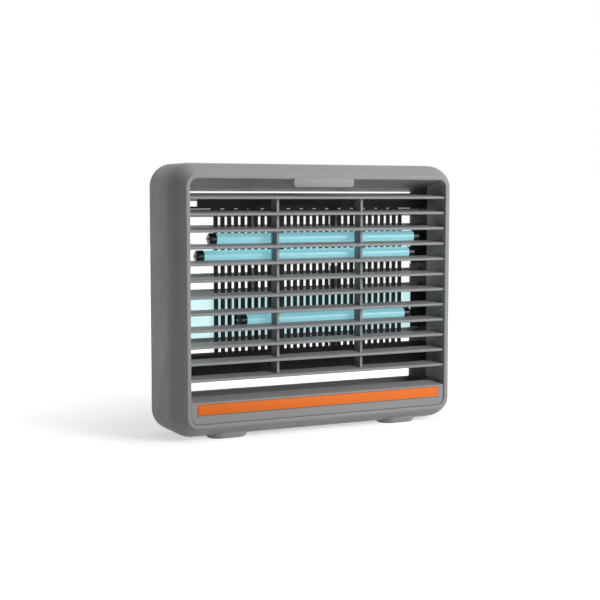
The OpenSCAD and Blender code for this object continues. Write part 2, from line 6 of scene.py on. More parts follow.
import bmesh
import bpy
import numpy as np
from bpy.props import FloatProperty, FloatVectorProperty, PointerProperty
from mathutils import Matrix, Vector

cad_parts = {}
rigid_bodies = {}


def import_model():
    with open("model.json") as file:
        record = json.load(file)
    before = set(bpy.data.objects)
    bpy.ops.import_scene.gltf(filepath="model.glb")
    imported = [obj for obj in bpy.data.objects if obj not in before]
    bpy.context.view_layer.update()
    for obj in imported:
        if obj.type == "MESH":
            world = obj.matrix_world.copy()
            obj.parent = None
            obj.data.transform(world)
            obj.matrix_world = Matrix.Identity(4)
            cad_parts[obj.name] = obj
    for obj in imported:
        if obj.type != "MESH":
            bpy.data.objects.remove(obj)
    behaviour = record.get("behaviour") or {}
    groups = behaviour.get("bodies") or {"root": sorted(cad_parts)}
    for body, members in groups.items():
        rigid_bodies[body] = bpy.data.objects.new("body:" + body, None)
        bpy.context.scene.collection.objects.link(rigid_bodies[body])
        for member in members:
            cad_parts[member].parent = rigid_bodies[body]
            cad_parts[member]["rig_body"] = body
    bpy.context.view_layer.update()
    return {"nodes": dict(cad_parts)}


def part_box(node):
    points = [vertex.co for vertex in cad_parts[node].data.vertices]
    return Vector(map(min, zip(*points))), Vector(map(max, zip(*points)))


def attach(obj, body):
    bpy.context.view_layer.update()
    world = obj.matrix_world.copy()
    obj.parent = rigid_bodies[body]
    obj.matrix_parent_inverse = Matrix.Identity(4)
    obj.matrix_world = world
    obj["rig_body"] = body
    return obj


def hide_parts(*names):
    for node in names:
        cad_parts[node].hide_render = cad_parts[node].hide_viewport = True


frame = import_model()

bl_info = {
    "name": "Bug zapper looks",
    "version": (1, 0, 0),
    "blender": (4, 5, 0),
    "location": "3D View > Sidebar > Zapper",
    "description": "Builds the finished surfaces and the stage of an electric bug zapper",
    "category": "Object",
}

MM = 0.001
HOUSING_LOW, HOUSING_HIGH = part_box("housing")
FRONT = HOUSING_LOW.y
BACK = HOUSING_HIGH.y

# Fixed sizes of the pieces
CEILING_DROP = 14.2 * MM      # from the opening's top to the ceiling's rear edge
CEILING_DEPTH = 81.8 * MM
CEILING_THICK = 2.2 * MM
TAB_HALF = 40 * MM            # half the width of the tab on the ring
TAB_HEIGHT = 9.6 * MM
TAB_THICK = 2.4 * MM
TAB_CORNER = 4 * MM
BOSS_REACH = 20 * MM          # from the opening's edge to an outer screw's height
SLAT_PITCH = 19 * MM
SLAT_THICK = 3.3 * MM
SLAT_REACH = 21 * MM          # front to back
SHEET_THICK = 1 * MM          # of a reflector
TUBE_DOME = 3.2 * MM          # rounding of a tube's shoulder
CAP_DEPTH = 9 * MM
CAP_ROUND = 2.6 * MM
FOOT_HALF = 8.5 * MM          # half the straight part of a front foot
FOOT_RADIUS = 15 * MM         # at the floor


# ---------------------------------------------------------------- sizes and colours

def length(name, text, value):
    """A length in metres."""
    return FloatProperty(name=name, description=text, default=value, min=0, subtype="DISTANCE",
                         unit="LENGTH")


def colour(name, text, value):
    """A colour in linear light."""
    return FloatVectorProperty(name=name, description=text, default=value, size=3, min=0, max=1,
                               subtype="COLOR")


class ZapperSizes(bpy.types.PropertyGroup):
    """Sizes of the housing's section, the slats and the front feet."""

    ring: length("Ring", "Width of the flat ring round the front opening", 4.4 * MM)
    flare: length("Flare", "How far the side stands out beyond the ring", 13.6 * MM)
    flare_slope: FloatProperty(name="Flare slope", description="Slope of the side where it leaves the ring",
                               default=radians(45), subtype="ANGLE", unit="ROTATION")
    opening_radius: length("Opening radius", "Corner radius of the front opening", 9.5 * MM)
    wall: length("Wall", "Thickness of the housing's wall", 3 * MM)
    tunnel_wall: length("Tunnel wall", "Thickness of the wall behind the ring", 2.5 * MM)
    tunnel_depth: length("Tunnel depth", "Depth of the wall behind the ring", 44 * MM)
    back_radius: length("Back radius", "Rounding of the rear edge", 2.6 * MM)
    slat_edge: length("Slat edge", "Rounding of a slat's outer edge", 0.9 * MM)
    foot_height: length("Foot height", "Height of a front foot above the floor", 8.8 * MM)
    foot_grow: length("Foot growth", "How much a front foot widens up to its full height", 3.5 * MM)


class ZapperColours(bpy.types.PropertyGroup):
    """Colours of the moulded parts, the strip, the lamps and the metal."""

    grey: colour("Housing grey", "Moulded housing, louvres and tray", (0.285, 0.287, 0.292))
    black: colour("Black plastic", "Frame, rails and lamp holders", (0.012, 0.012, 0.013))
    electrode: colour("Electrode", "Coated steel bars", (0.014, 0.014, 0.015))
    orange: colour("Strip", "Coloured strip on the tray", (0.86, 0.175, 0.010))
    glass: colour("Lamp glass", "Coated tube", (0.26, 0.62, 0.68))
    glow: colour("Lamp glow", "Light given out by the tube", (0.40, 0.84, 0.94))
    enamel: colour("Reflector", "White enamel", (0.86, 0.87, 0.87))
    # Painted glow: the light of the tubes shown as an emission colour on the lower reflector.
    lower_reflector_glow: colour("Lower reflector painted glow", "Light on the lower reflector", (0.58, 0.92, 0.93))
    steel: colour("Steel", "Screws and pins", (0.56, 0.55, 0.52))
    foot: colour("Foot grey", "Moulded front feet", (0.33, 0.33, 0.335))
    floor: colour("Floor", "Pale floor", (0.82, 0.82, 0.82))


def sizes():
    """The sizes as set in the sidebar."""
    return bpy.context.scene.zapper_sizes


def colours():
    """The colours as set in the sidebar."""
    return bpy.context.scene.zapper_colours


# ---------------------------------------------------------------- surfaces

def rounded_loop(corners, radii, steps=5):
    """Closed outline with an arc at each corner.

    Each arc's centre lies on the corner's bisector, at radius over the sine of half the
    angle; its points swing evenly from one side's tangent point to the other's.
    """
    p = np.asarray(corners, float)
    back, ahead = np.roll(p, 1, 0) - p, np.roll(p, -1, 0) - p
    back_len, ahead_len = np.linalg.norm(back, axis=1), np.linalg.norm(ahead, axis=1)
    back, ahead = back / back_len[:, None], ahead / ahead_len[:, None]
    half = np.arccos(np.clip((back * ahead).sum(1), -1, 1)) / 2
    cut = np.minimum(np.asarray(radii, float) / np.tan(half), 0.48 * np.minimum(back_len, ahead_len))
    bisector = back + ahead
    bisector /= np.maximum(np.linalg.norm(bisector, axis=1), 1e-9)[:, None]
    centre = p + bisector * (cut / np.cos(half))[:, None]
    swing = np.maximum(np.pi - 2 * half, 1e-4)[:, None]
    t = np.linspace(0, 1, steps)[None, :]
    first, last = np.sin((1 - t) * swing) / np.sin(swing), np.sin(t * swing) / np.sin(swing)
    start, end = p + back * cut[:, None] - centre, p + ahead * cut[:, None] - centre
    loop = centre[:, None] + first[..., None] * start[:, None] + last[..., None] * end[:, None]
    return loop.reshape(-1, 2)


def grid_faces(rows, columns, wrap_rows=False):
    """Quads of a grid of points that closes round its columns, and round its rows if asked."""
    i = np.arange(rows if wrap_rows else rows - 1)[:, None]
    j = np.arange(columns)[None, :]
    i2, j2 = (i + 1) % rows, (j + 1) % columns
    corners = (i * columns + j, i * columns + j2, i2 * columns + j2, i2 * columns + j)
    quads = np.stack(np.broadcast_arrays(*corners), -1)
    return quads.reshape(-1, 4).tolist()


def stacked(rings):
    """A closed solid from rings of points: the quads between them and a flat face at each end."""
    rings = np.asarray(rings, float)
    rows, columns = rings.shape[:2]
    faces = grid_faces(rows, columns)
    faces.append(list(range(columns)))
    faces.append(list(range((rows - 1) * columns, rows * columns)))
    return rings.reshape(-1, 3), faces


def prism(loop, x0, x1):
    """An outline in depth and height carried straight along X."""
    ring = np.column_stack([np.zeros(len(loop)), FRONT + loop[:, 0], loop[:, 1]])
    return stacked([ring + [x0, 0, 0], ring + [x1, 0, 0]])


def lathe(profile, start, axis="X", steps=48):
    """A profile of (distance along the axis, radius) turned once round an axis through start."""
    profile = np.asarray(profile, float)
    turn = np.linspace(0, 2 * np.pi, steps, endpoint=False)
    along, radius = profile[:, :1], np.maximum(profile[:, 1:], 2e-6)
    across = (radius * np.cos(turn), radius * np.sin(turn))
    along = np.broadcast_to(along, across[0].shape)
    order = {"X": (along, across[0], across[1]), "Y": (across[1], along, across[0]),
             "Z": (across[0], across[1], along)}[axis]
    return stacked(np.stack(order, -1) + np.asarray(start, float))


def slab(low, high, corner, edge, thin="Y", steps=4):
    """A rounded rectangle given a thickness, with both rims rounded.

    The outline shrinks by edge times one minus the sine of the rim angle while it moves
    edge times one minus the cosine through the thickness.
    """
    low, high = np.asarray(low, float), np.asarray(high, float)
    k = "XYZ".index(thin)
    a, b = [i for i in range(3) if i != k]
    half = (high - low) / 2
    mid = (high + low) / 2
    angle = np.linspace(0, np.pi / 2, steps)
    inset = np.concatenate([edge * (1 - np.sin(angle)), edge * (1 - np.sin(angle[::-1]))])
    through = np.concatenate([-half[k] + edge * (1 - np.cos(angle)),
                              half[k] - edge * (1 - np.cos(angle[::-1]))])
    turn = (np.arange(4)[:, None] * np.pi / 2 + np.linspace(0, np.pi / 2, 6)[None, :]).ravel()
    sign = np.array([[1, 1], [-1, 1], [-1, -1], [1, -1]]).repeat(6, 0)
    core = sign * (half[[a, b]] - corner)
    reach = np.maximum(corner - inset, 1e-5)[:, None, None]
    flat = core[None] + reach * np.column_stack([np.cos(turn), np.sin(turn)])[None]
    rings = np.zeros((len(inset), len(turn), 3))
    rings[..., a], rings[..., b], rings[..., k] = flat[..., 0], flat[..., 1], through[:, None]
    return stacked(rings + mid)


def joined(shapes):
    """Several (points, faces) as one."""
    points, faces, base = [], [], 0
    for verts, polys in shapes:
        points.append(verts)
        faces += [[i + base for i in face] for face in polys]
        base += len(verts)
    return np.concatenate(points), faces


def settle(mesh, angle):
    """Merges doubles, points every face outwards and keeps edges sharper than angle."""
    work = bmesh.new()
    work.from_mesh(mesh)
    bmesh.ops.remove_doubles(work, verts=work.verts, dist=1e-6)
    bmesh.ops.dissolve_degenerate(work, edges=work.edges, dist=1e-7)
    bmesh.ops.recalc_face_normals(work, faces=work.faces)
    work.to_mesh(mesh)
    work.free()
    mesh.shade_smooth()
    mesh.set_sharp_from_angle(angle=angle)


def place(name, mesh, material, nodes):
    """Puts a mesh in the scene as a piece that stands for some nodes and rides on their body."""
    piece = bpy.data.objects.new(name, mesh)
    bpy.context.scene.collection.objects.link(piece)
    mesh.materials.clear()
    mesh.materials.append(material)
    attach(piece, frame["nodes"][nodes[0]]["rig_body"])
    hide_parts(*nodes)
    return piece


def piece_from(name, shapes, material, slot, *nodes, sharp=radians(32)):
    """A piece made of worked-out surfaces."""
    points, faces = joined(shapes)
    mesh = bpy.data.meshes.new(name)
    mesh.from_pydata(points, [], faces)
    settle(mesh, sharp)
    return place(name, mesh, material, nodes)


def softened(name, node, material, edge):
    """A merged copy of a construction node with its flat facets joined and its edges rounded."""
    mesh = frame["nodes"][node].data.copy()
    mesh.name = name
    work = bmesh.new()
    work.from_mesh(mesh)
    bmesh.ops.remove_doubles(work, verts=work.verts, dist=1e-6)
    bmesh.ops.dissolve_limit(work, angle_limit=radians(0.8), verts=work.verts, edges=work.edges)
    work.to_mesh(mesh)
    work.free()
    mesh.shade_smooth()
    mesh.set_sharp_from_angle(angle=radians(32))
    piece = place(name, mesh, material, [node])
    bevel = piece.modifiers.new("Rounded edges", "BEVEL")
    bevel.width = edge
    bevel.segments = 3
    bevel.limit_method = "ANGLE"
    bevel.angle_limit = radians(32)
    bevel.harden_normals = True
    return piece


def finish_node(material, *nodes):
    """Gives construction nodes that stay as they are their finished material."""
    for node in nodes:
        mesh = frame["nodes"][node].data
        mesh.materials.clear()
        mesh.materials.append(material)


# ---------------------------------------------------------------- shader groups

def new_group(name, inputs, outputs):
    """An empty shader node group with named sockets."""
    group = bpy.data.node_groups.new(name, "ShaderNodeTree")
    for title, kind, value in inputs:
        socket = group.interface.new_socket(title, in_out="INPUT", socket_type=kind)
        socket.default_value = value
    for title, kind in outputs:
        group.interface.new_socket(title, in_out="OUTPUT", socket_type=kind)
    return group, group.nodes.new("NodeGroupInput"), group.nodes.new("NodeGroupOutput")


def add(tree, kind, **values):
    """A node with its properties set."""
    node = tree.nodes.new(kind)
    for key, value in values.items():
        setattr(node, key, value)
    return node


def noise(tree, point, scale, detail=3.0, rough=0.55):
    """A noise texture on a point; scale may be a socket."""
    node = add(tree, "ShaderNodeTexNoise")
    tree.links.new(point, node.inputs["Vector"])
    node.inputs["Detail"].default_value = detail
    node.inputs["Roughness"].default_value = rough
    if isinstance(scale, (int, float)):
        node.inputs["Scale"].default_value = scale
    else:
        tree.links.new(scale, node.inputs["Scale"])
    return node.outputs["Fac"]


def maths(tree, operation, *values, clamp=False):
    """A Math node whose inputs are sockets or numbers."""
    node = add(tree, "ShaderNodeMath", operation=operation, use_clamp=clamp)
    for socket, value in zip(node.inputs, values):
        if isinstance(value, (int, float)):
            socket.default_value = value
        else:
            tree.links.new(value, socket)
    return node.outputs[0]


def spread(tree, value, low, high, to_low, to_high):
    """A value's range mapped to another, clamped."""
    node = add(tree, "ShaderNodeMapRange")
    tree.links.new(value, node.inputs["Value"])
    for title, number in (("From Min", low), ("From Max", high)):
        node.inputs[title].default_value = number
    for title, number in (("To Min", to_low), ("To Max", to_high)):
        if isinstance(number, (int, float)):
            node.inputs[title].default_value = number
        else:
            tree.links.new(number, node.inputs[title])
    return node.outputs["Result"]


def grain_group():
    """Spark-eroded moulding grain: two sizes of noise added as a height."""
    group, source, sink = new_group("Moulding grain", [("Scale", "NodeSocketFloat", 900.0),
                                    ("Coarse", "NodeSocketFloat", 0.4)], [("Height", "NodeSocketFloat")])
    point = add(group, "ShaderNodeTexCoord").outputs["Object"]
    fine = noise(group, point, source.outputs["Scale"], 2.0, 0.6)
    coarse = noise(group, point, maths(group, "MULTIPLY", source.outputs["Scale"], 0.21), 2.0)
    total = maths(group, "ADD", fine, maths(group, "MULTIPLY", coarse, source.outputs["Coarse"]))
    group.links.new(total, sink.inputs["Height"])
    return group


def drift_group():
    """Slow colour drift and faint scuffs: a colour made lighter and darker by soft noise."""
    group, source, sink = new_group("Colour drift", [("Colour", "NodeSocketColor", (0.5, 0.5, 0.5, 1)),
                                    ("Amount", "NodeSocketFloat", 0.06)], [("Colour", "NodeSocketColor")])
    point = add(group, "ShaderNodeTexCoord").outputs["Object"]
    slow, quick = noise(group, point, 9.0, 2.0), noise(group, point, 160.0, 4.0, 0.7)
    mixed = maths(group, "ADD", maths(group, "MULTIPLY", slow, 0.65),
                  maths(group, "MULTIPLY", quick, 0.35))
    bright = maths(group, "ADD", 1.0, maths(group, "MULTIPLY", maths(group, "SUBTRACT", mixed, 0.5),
                                            source.outputs["Amount"]))
    scale = add(group, "ShaderNodeVectorMath", operation="SCALE")
    group.links.new(source.outputs["Colour"], scale.inputs[0])
    group.links.new(bright, scale.inputs["Scale"])
    group.links.new(scale.outputs["Vector"], sink.inputs["Colour"])
    return group


def dust_group():
    """Dust that settles on upward faces: the height part of the normal times broken noise."""
    group, source, sink = new_group("Settled dust", [("Amount", "NodeSocketFloat", 0.2),
                                    ("Scale", "NodeSocketFloat", 60.0)], [("Mask", "NodeSocketFloat")])
    point = add(group, "ShaderNodeTexCoord").outputs["Object"]
    normal = add(group, "ShaderNodeNewGeometry").outputs["Normal"]
    parts = add(group, "ShaderNodeSeparateXYZ")
    group.links.new(normal, parts.inputs[0])
    up = spread(group, parts.outputs["Z"], 0.45, 1.0, 0.0, 1.0)
    patches = noise(group, point, source.outputs["Scale"], 5.0, 0.65)
    broken = spread(group, patches, 0.35, 0.75, 0.25, 1.0)
    mask = maths(group, "MULTIPLY", maths(group, "MULTIPLY", up, broken), source.outputs["Amount"],
                 clamp=True)
    group.links.new(mask, sink.inputs["Mask"])
    return group


def shared(name, build):
    """A shader group that is built once."""
    return bpy.data.node_groups.get(name) or build()


# ---------------------------------------------------------------- materials

def new_material(name):
    """A material with one Principled shader."""
    material = bpy.data.materials.new(name)
    material.use_nodes = True
    return material, material.node_tree, material.node_tree.nodes["Principled BSDF"]


def use(tree, group, **values):
    """A group placed in a material with its own values."""
    node = add(tree, "ShaderNodeGroup", node_tree=group)
    for title, value in values.items():
        node.inputs[title].default_value = value
    return node


def coated(name, base, rough=(0.42, 0.56), grain=900.0, height=0.05, drift=0.08, dust=0.0,
           metal=0.0, coat=0.0, shine=0.5):
    """A coloured finish with grain, colour drift, uneven gloss and settled dust."""
    if name in bpy.data.materials:
        return bpy.data.materials[name]
    material, tree, shader = new_material(name)
    tint = use(tree, shared("Colour drift", drift_group), Colour=(*base, 1), Amount=drift)
    point = add(tree, "ShaderNodeTexCoord").outputs["Object"]
    gloss = spread(tree, noise(tree, point, 45.0, 4.0, 0.6), 0.3, 0.7, rough[0], rough[1])
    if dust:
        settled = use(tree, shared("Settled dust", dust_group), Amount=dust)
        mix = add(tree, "ShaderNodeMix", data_type="RGBA")
        tree.links.new(settled.outputs["Mask"], mix.inputs["Factor"])
        tree.links.new(tint.outputs["Colour"], mix.inputs["A"])
        mix.inputs["B"].default_value = (0.55, 0.54, 0.52, 1)
        tree.links.new(mix.outputs["Result"], shader.inputs["Base Color"])
    else:
        tree.links.new(tint.outputs["Colour"], shader.inputs["Base Color"])
    tree.links.new(gloss, shader.inputs["Roughness"])
    bump = add(tree, "ShaderNodeBump")
    bump.inputs["Strength"].default_value = height
    bump.inputs["Distance"].default_value = 0.2 * MM
    surface = use(tree, shared("Moulding grain", grain_group), Scale=grain, Coarse=0.5)
    tree.links.new(surface.outputs["Height"], bump.inputs["Height"])
    tree.links.new(bump.outputs["Normal"], shader.inputs["Normal"])
    shader.inputs["Specular IOR Level"].default_value = shine
    shader.inputs["Metallic"].default_value = metal
    shader.inputs["Coat Weight"].default_value = coat
    shader.inputs["Coat Roughness"].default_value = 0.2
    return material


def grey_plastic():
    """Satin grey moulding of the housing, louvres and tray."""
    return coated("Housing grey", colours().grey, (0.46, 0.6), 1100.0, 0.22, 0.10, 0.10)


def black_plastic():
    """Matt black moulding of the frame, rails and lamp holders."""
    return coated("Black moulding", colours().black, (0.5, 0.65), 800.0, 0.2, 0.3, shine=0.2)


def electrode_coat():
    """Thin dark coat on the steel bars."""
    return coated("Electrode coat", colours().electrode, (0.4, 0.55), 500.0, 0.15, 0.4, shine=0.22)


def orange_plastic():
    """Satin orange strip."""
    return coated("Strip orange", colours().orange, (0.36, 0.48), 700.0, 0.1, 0.07, shine=0.3)


def enamel(name, glow, strength):
    """White enamelled sheet with a painted glow: an emission that stands in for the light of the tubes on
    it.
    """
    material = coated(name, colours().enamel, (0.24, 0.36), 260.0, 0.12, 0.05, coat=0.25)
    shader = material.node_tree.nodes["Principled BSDF"]
    # Painted glow in the given colour and strength, standing in for the tube light that falls on the sheet.
    shader.inputs["Emission Color"].default_value = (*glow, 1)
    shader.inputs["Emission Strength"].default_value = strength
    return material


def plated(name, base):
    """Plated metal, slightly stained."""
    return coated(name, base, (0.22, 0.42), 600.0, 0.1, 0.25, 0.0, 1.0)


def lamp_glass():
    """Coated glass tube that glows: colour and light fall off in slow bands along the tube."""
    if "Lamp glass" in bpy.data.materials:
        return bpy.data.materials["Lamp glass"]
    material, tree, shader = new_material("Lamp glass")
    tint = use(tree, shared("Colour drift", drift_group), Colour=(*colours().glass, 1), Amount=0.2)
    tree.links.new(tint.outputs["Colour"], shader.inputs["Base Color"])
    light = use(tree, shared("Colour drift", drift_group), Colour=(*colours().glow, 1), Amount=0.25)
    tree.links.new(light.outputs["Colour"], shader.inputs["Emission Color"])
    shader.inputs["Emission Strength"].default_value = 0.45
    shader.inputs["Roughness"].default_value = 0.28
    shader.inputs["Coat Weight"].default_value = 0.4
    shader.inputs["Coat Roughness"].default_value = 0.25
    return material


def circuit_laminate():
    """Green laminate with copper tracks: a fine brick pattern bent by noise under the colour."""
    if "Circuit laminate" in bpy.data.materials:
        return bpy.data.materials["Circuit laminate"]
    material, tree, shader = new_material("Circuit laminate")
    point = add(tree, "ShaderNodeTexCoord").outputs["Object"]
    turn = add(tree, "ShaderNodeMapping")
    turn.inputs["Rotation"].default_value = (0, radians(90), 0)
    tree.links.new(point, turn.inputs["Vector"])
    tracks = add(tree, "ShaderNodeTexBrick")
    tracks.inputs["Scale"].default_value = 120.0
    tracks.inputs["Mortar Size"].default_value = 0.05
    tracks.inputs["Color1"].default_value = (0.012, 0.10, 0.035, 1)
    tracks.inputs["Color2"].default_value = (0.016, 0.13, 0.045, 1)
    tracks.inputs["Mortar"].default_value = (0.05, 0.26, 0.09, 1)
    tree.links.new(turn.outputs["Vector"], tracks.inputs["Vector"])
    tree.links.new(tracks.outputs["Color"], shader.inputs["Base Color"])
    tree.links.new(spread(tree, noise(tree, point, 90.0), 0.3, 0.7, 0.25, 0.4), shader.inputs["Roughness"])
    return material


# ---------------------------------------------------------------- the housing

def opening():
    """Half width, lowest and highest height of the front opening."""
    s = sizes()
    edge = s.ring + s.flare
    return HOUSING_HIGH.x - edge, HOUSING_LOW.z + edge, HOUSING_HIGH.z - edge


def flare_curve(steps=14):
    """The side's arc from the ring outwards and back, as (outwards, depth)."""
    s = sizes()
    radius = s.flare / (1 - cos(s.flare_slope))
    angle = np.linspace(s.flare_slope, 0, steps)
    out = s.ring + radius * (np.cos(angle) - cos(s.flare_slope))
    return np.column_stack([out, radius * (sin(s.flare_slope) - np.sin(angle))])


def housing_section():
    """Section of the housing as (outwards, depth): ring, flared side, rear edge and inner wall."""
    s = sizes()
    depth = BACK - FRONT
    edge = s.ring + s.flare
    arc = flare_curve()
    inner = edge - s.wall
    corners = np.array([[0, 0], *arc, [edge, depth], [inner, depth], [inner, arc[-1, 1] + 2 * MM],
                        [inner - 2 * MM, arc[-1, 1] / 2], [s.ring + 1.5 * MM, s.wall + 2 * MM],
                        [s.tunnel_wall, s.wall], [s.tunnel_wall, s.tunnel_depth], [0, s.tunnel_depth]])
    radii = [0.7 * MM, 0.5 * MM, *[0] * (len(arc) - 1), s.back_radius, 0.4 * MM, *[0] * 3, 1 * MM,
             0.5 * MM, 0.5 * MM]
    return rounded_loop(corners, radii, 5)


def round_the_opening(section, steps=20):
    """A section carried round the opening: each corner turns about a centre one radius in."""
    s = sizes()
    half, low, high = opening()
    turn = (np.arange(4)[:, None] * np.pi / 2 + np.linspace(0, np.pi / 2, steps)[None, :]).ravel()
    sign = np.array([[1, 1], [-1, 1], [-1, -1], [1, -1]]).repeat(steps, 0)
    core = sign * [half - s.opening_radius, (high - low) / 2 - s.opening_radius]
    reach = s.opening_radius + section[:, 0]
    x = core[:, :1] + np.cos(turn)[:, None] * reach
    z = (low + high) / 2 + core[:, 1:] + np.sin(turn)[:, None] * reach
    y = np.broadcast_to(FRONT + section[:, 1], x.shape)
    points = np.stack([x, y, z], -1)
    return points.reshape(-1, 3), grid_faces(*x.shape, wrap_rows=True)


def ceiling():
    """Plate that slopes from the opening's top down to the back window."""
    half, _, top = opening()
    slope, rear = CEILING_DROP / CEILING_DEPTH, top - CEILING_DROP
    corners = [[0.9 * MM, top + 0.2 * MM], [0.9 * MM, top - 0.9 * MM * slope], [CEILING_DEPTH, rear],
               [CEILING_DEPTH, rear + CEILING_THICK], [CEILING_THICK / slope, top + 0.1 * MM]]
    edge = rounded_loop(corners, [0, 0.4 * MM, 0.4 * MM, 0.4 * MM, 0])
    return prism(edge, -half + 0.05 * MM, half - 0.05 * MM)


def badge_tab():
    """Bare rounded tab that hangs from the middle of the opening's top."""
    _, _, top = opening()
    return slab([-TAB_HALF, FRONT + 0.05 * MM, top - TAB_HEIGHT],
                [TAB_HALF, FRONT + TAB_THICK, top + 1.5 * MM], TAB_CORNER, 0.6 * MM)


def bosses():
    """Six screw bosses between the inner and the outer wall: a tube closed in front."""
    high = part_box("cover_screws")[1]
    _, bottom, top = opening()
    profile = np.array([[15, 0], [15, 4.4], [81.8, 4.4], [81.8, 1.5], [45, 1.5], [45, 0]]) * MM
    heights = (bottom + BOSS_REACH, (bottom + top) / 2, top - BOSS_REACH)
    return [lathe(profile, (side * (high.x - 3 * MM), FRONT, z), "Y", 24)
            for side in (-1, 1) for z in heights]


class ZapperHousing(bpy.types.Operator):
    """Builds the rounded housing with its front ring, ceiling, tab and screw bosses"""

    bl_idname = "zapper.housing"
    bl_label = "Housing"

    def execute(self, context):
        shapes = [round_the_opening(housing_section()), ceiling(), badge_tab(), *bosses()]
        piece_from("housing_shell", shapes, grey_plastic(), "grey_housing", "housing", sharp=radians(28))
        return {"FINISHED"}


# ---------------------------------------------------------------- louvres

def slat_shapes(node, from_front):
    """The slats of one louvre: one rounded section carried along X at each of its heights.

    A slat rises towards the inside by what the node's height leaves over all the pitches
    and the inner edge's thickness.
    """
    s = sizes()
    low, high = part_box(node)
    count = int((high.z - low.z) / SLAT_PITCH) + 1
    rise = high.z - low.z - (count - 1) * SLAT_PITCH - 0.8 * SLAT_THICK
    outer = low.y - FRONT if from_front else high.y - FRONT
    way = 1 if from_front else -1
    corners = np.array([[0, 0], [SLAT_REACH, rise], [SLAT_REACH, rise + 0.8 * SLAT_THICK],
                        [1 * MM, SLAT_THICK], [0, SLAT_THICK - 0.6 * MM]])
    loop = rounded_loop(corners, [s.slat_edge, 0.6 * MM, 0.6 * MM, 1.2 * MM, 0.7 * MM], 4)
    loop = np.column_stack([outer + way * loop[:, 0], low.z + loop[:, 1]])
    return [prism(loop + [0, k * SLAT_PITCH], low.x, high.x) for k in range(count)]


class ZapperLouvres(bpy.types.Operator):
    """Builds the slats of both louvres and finishes their ribs"""

    bl_idname = "zapper.louvres"
    bl_label = "Louvres"

    def execute(self, context):
        for side in ("front", "rear"):
            node = side + "_slats"
            piece_from(side + "_louvre_slats", slat_shapes(node, side == "front"), grey_plastic(),
                       "grey_housing", node)
        finish_node(grey_plastic(), "front_ribs", "rear_ribs")
        return {"FINISHED"}


# ---------------------------------------------------------------- grid, frame and reflectors

class ZapperGrid(bpy.types.Operator):
    """Builds the electrode combs, their rails and the inner frame with rounded edges"""

    bl_idname = "zapper.grid"
    bl_label = "Electrode grid"

    def execute(self, context):
        for node in ("return_comb", "live_comb"):
            softened(node + "_plate", node, electrode_coat(), 0.3 * MM)
        for node in ("grid_top_rail", "grid_bottom_rail", "inner_frame"):
            softened(node + "_moulding", node, black_plastic(), 0.4 * MM)
        return {"FINISHED"}


def channel(node):
    """A folded sheet channel: face in front, a flange back from each edge, with round folds."""
    low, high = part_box(node)
    d0, d1, z0, z1, t = low.y - FRONT, high.y - FRONT, low.z, high.z, SHEET_THICK
    corners = [[d0, z0], [d1, z0], [d1, z0 + t], [d0 + t, z0 + t], [d0 + t, z1 - t], [d1, z1 - t],
               [d1, z1], [d0, z1]]
    radii = [1.4 * MM, 0.2 * MM, 0.2 * MM, 0.4 * MM, 0.4 * MM, 0.2 * MM, 0.2 * MM, 1.4 * MM]
    return prism(rounded_loop(corners, radii), low.x, high.x)


class ZapperReflectors(bpy.types.Operator):
    """Builds the two white reflectors behind the grid, each with a painted glow"""

    bl_idname = "zapper.reflectors"
    bl_label = "Reflectors"

    def execute(self, context):
        # Painted glow: white on the upper reflector, pale cyan on the lower one.
        finishes = {"upper_reflector": enamel("White enamel", (1, 1, 1), 0.85),
                    "lower_reflector": enamel("Enamel with painted cyan glow", colours().lower_reflector_glow, 0.75)}
        for node, finish in finishes.items():
            piece_from(node + "_sheet", [channel(node)], finish, "white_reflector", node)
        return {"FINISHED"}


# ---------------------------------------------------------------- lamps

def quarter(x0, r0, x1, r1, steps=8):
    """Quarter of an ellipse from (x0, r0) to (x1, r1) that leaves the first point along the radius."""
    t = np.linspace(0, np.pi / 2, steps)
    return np.column_stack([x1 + (x0 - x1) * np.cos(t), r0 + (r1 - r0) * np.sin(t)])


def tube_shape(node):
    """Glass tube with domed shoulders: a profile turned round the lamp's axis."""
    low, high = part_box(node)
    radius = (high.z - low.z) / 2
    left = quarter(low.x, radius - 2 * MM, low.x + TUBE_DOME, radius)
    right = quarter(high.x, radius - 2 * MM, high.x - TUBE_DOME, radius)[::-1]
    profile = np.concatenate([[[low.x, 0]], left, right, [[high.x, 0]]])
    return lathe(profile, (0, (low.y + high.y) / 2, (low.z + high.z) / 2), steps=64)


def cap_shapes(lamp):
    """A black cap on each end of a lamp: rounded face, straight side and a lip over the glass."""
    low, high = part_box(lamp + "_lamp_caps")
    axis_y, axis_z = (low.y + high.y) / 2, (low.z + high.z) / 2
    radius = (high.z - low.z) / 2
    face = radius - CAP_ROUND
    profile = np.concatenate([[[0, 0]], [[0, face]], quarter(0, face, CAP_ROUND, radius),
                              [[CAP_DEPTH - 0.4 * MM, radius], [CAP_DEPTH, radius - 0.35 * MM],
                               [CAP_DEPTH, 0]]])
    return [lathe(profile, (low.x, axis_y, axis_z), steps=64),
            lathe(profile * [-1, 1], (high.x, axis_y, axis_z), steps=64)]


def pin_shapes(lamp):
    """A plated contact in the middle of each cap: shoulder, stem and round tip."""
    low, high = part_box(lamp + "_lamp_pins")
    axis_y, axis_z = (low.y + high.y) / 2, (low.z + high.z) / 2
    r = (high.z - low.z) / 2
    tip = quarter(0, 0, 0.9 * MM, r * 0.8)
    profile = np.concatenate([tip, [[2.2 * MM, r * 0.8], [2.4 * MM, r], [4 * MM, r], [4 * MM, 0]]])
    return [lathe(profile, (low.x, axis_y, axis_z), steps=24),
            lathe(profile * [-1, 1], (high.x, axis_y, axis_z), steps=24)]


